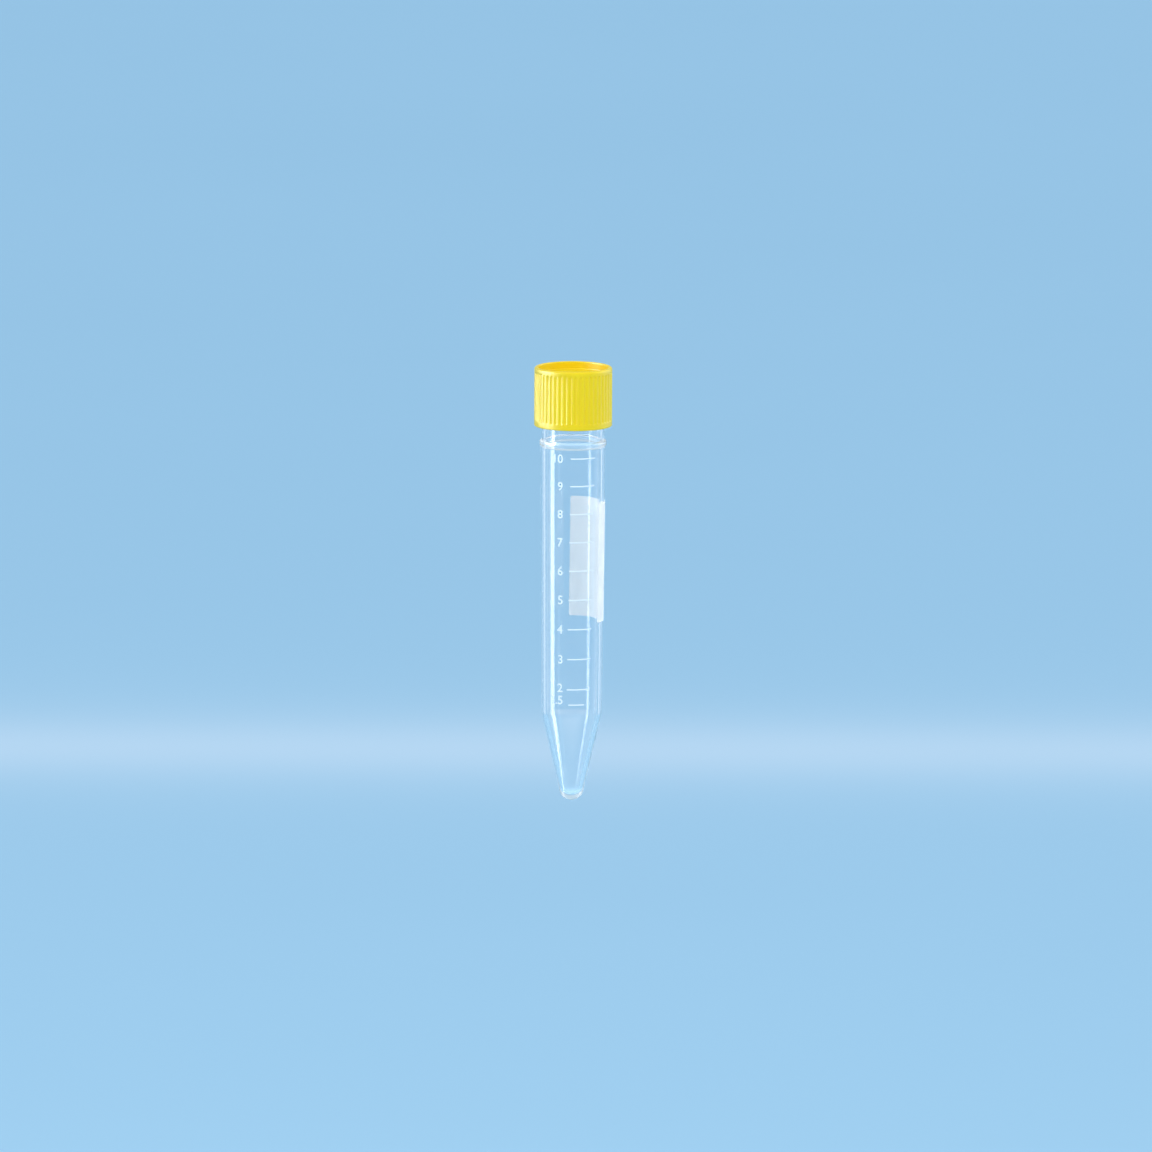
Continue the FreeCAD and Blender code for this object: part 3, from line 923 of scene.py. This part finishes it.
# %% Lights
STRIP_AWAY, STRIP_HEIGHT, STRIP_LENGTH = 0.42, 0.08, 0.64
RIM_HEIGHT, RIM_WIDTH, RIM_LENGTH = 0.16, 0.07, 0.46
GLOSS_AWAY, GLOSS_HEIGHT, GLOSS_SIZE = 0.15, 0.165, (0.14, 0.17)
GLOW_BEHIND, GLOW_HEIGHT = 1.56, -0.18
TUBE_MIDDLE = (0, 0, 0.06)
SHINE = ("glossy", "transmission")


def add_light(name, azimuth, distance, height, size, watts, lights, colour=(1, 1, 1), aim=None):
    """A light of (width, length) at an azimuth from the front and a distance from the axis.

    It faces the axis at its own height, or the point it is aimed at. lights says which kinds
    of ray meet it: diffuse, glossy or transmission.
    """
    data = bpy.data.lights.new(name, "AREA")
    data.shape = "RECTANGLE"
    data.size, data.size_y = size
    data.energy = watts
    data.color = colour
    lamp = bpy.data.objects.new(name, data)
    turn = math.radians(azimuth)
    lamp.location = (distance * math.sin(turn), -distance * math.cos(turn), height)
    target = np.array(aim if aim is not None else (0, 0, height))
    direction = target - np.array(lamp.location)
    tilt = math.atan2(math.hypot(direction[0], direction[1]), -direction[2])
    lamp.rotation_euler = (tilt, 0, math.atan2(-direction[0], direction[1]))
    lamp.visible_camera = False
    for kind in ("diffuse", "glossy", "transmission"):
        setattr(lamp, f"visible_{kind}", kind in lights)
    bpy.context.scene.collection.objects.link(lamp)
    print(f"{name}: {watts} W for {' and '.join(lights)} rays")


def add_strip(name, azimuth, distance, width, watts, lights, colour=(1, 1, 1)):
    """A tall light beside the tube, whose middle is at the height of the upper body."""
    size = (width, STRIP_LENGTH)
    add_light(name, azimuth, distance, STRIP_HEIGHT, size, watts, lights, colour)


add_strip("left_strip", -80, STRIP_AWAY, 0.06, 0.7, SHINE)
add_strip("left_halo", -80, STRIP_AWAY + 0.01, 0.16, 0.9, ("glossy",), (1.0, 0.95, 0.93))
add_strip("right_strip", 63, STRIP_AWAY, 0.034, 0.095, SHINE)
for side, watts in ((-138, 0.045), (138, 0.045), (-114, 0.06), (104, 0.06)):
    add_light(
        f"rim_strip_{side}", side, STRIP_AWAY, RIM_HEIGHT, (RIM_WIDTH, RIM_LENGTH),
        watts, SHINE, (1.0, 0.88, 0.8),
    )
add_light(
    "overhead", 0, 0.25, 0.9, (0.9, 0.9),
    3.0, ("diffuse",), (0.86, 1.0, 1.0), (0, 0.1, 0),
)
add_light(
    "side_fill", -60, 1.2, 0.3, (0.8, 0.8),
    1.7, ("diffuse",), (1.0, 1.0, 1.0), TUBE_MIDDLE,
)
add_light(
    "front_fill", 18, 1.3, 0.35, (1.0, 1.0),
    6.0, ("diffuse",), (1.0, 0.92, 0.82), TUBE_MIDDLE,
)
add_light(
    "back_fill", 168, 0.6, 0.3, (0.5, 0.5),
    1.1, ("diffuse",), (1.0, 0.9, 0.78), TUBE_MIDDLE,
)
add_light("left_gloss", -85, GLOSS_AWAY, GLOSS_HEIGHT, GLOSS_SIZE, 1.3, ("glossy",))
add_light("right_gloss", 105, GLOSS_AWAY, GLOSS_HEIGHT, GLOSS_SIZE, 0.25, ("glossy",))
add_light(
    "floor_glow", 0, -GLOW_BEHIND, GLOW_HEIGHT, (3.0, 0.04),
    0.36, ("diffuse",), (1.0, 0.5, 0.3), (0, GLOW_BEHIND, FLOOR_HEIGHT),
)

# %% [markdown]
# ## The camera
#
# The view is almost without perspective: a very long lens, six metres away, looking down
# by nine degrees.

# %% Camera
ELEVATION = math.radians(9.15)
ROLL = math.radians(0.27)
DISTANCE = 6.0
FRAME_WIDTH = 0.2848
SENSOR_WIDTH = 36
AIM = (0.0009, 0.0, 0.05604)

camera_data = bpy.data.cameras.new("camera")
camera_data.sensor_width = SENSOR_WIDTH
camera_data.lens = SENSOR_WIDTH / 2 / (FRAME_WIDTH / 2 / DISTANCE)
camera_data.clip_start, camera_data.clip_end = 0.1, 60
camera = bpy.data.objects.new("camera", camera_data)
camera.location = (
    AIM[0],
    AIM[1] - DISTANCE * math.cos(ELEVATION),
    AIM[2] + DISTANCE * math.sin(ELEVATION),
)
camera.rotation_mode = "ZXY"
camera.rotation_euler = (math.pi / 2 - ELEVATION, 0, ROLL)
bpy.context.scene.collection.objects.link(camera)
bpy.context.scene.camera = camera
bpy.context.scene.view_settings.view_transform = "Standard"
print(f"lens {camera_data.lens:.1f} mm")

# %% [markdown]
# Light goes round and round inside clear walls before it comes out, so it may be passed on
# and reflected many more times than usual.

# %% How often light may be passed on
BOUNCES, SEE_THROUGH = 64, 32

cycles = bpy.context.scene.cycles
cycles.max_bounces = BOUNCES
cycles.transmission_bounces = BOUNCES
cycles.glossy_bounces = BOUNCES
cycles.transparent_max_bounces = SEE_THROUGH
print(f"up to {BOUNCES} bounces")

# %% [markdown]
# ## Sizes, and the end
#
# The finished model's box is set beside the imported one's, and how far each side has grown is
# printed. The finished model must fill the same box as the imported one.

# %% Sizes
model_low, model_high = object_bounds()
pairs = zip((*model_low, *model_high), (*cad_low, *cad_high))
print("grown by", [f"{(model - cad) / MM:+.3f}" for model, cad in pairs])
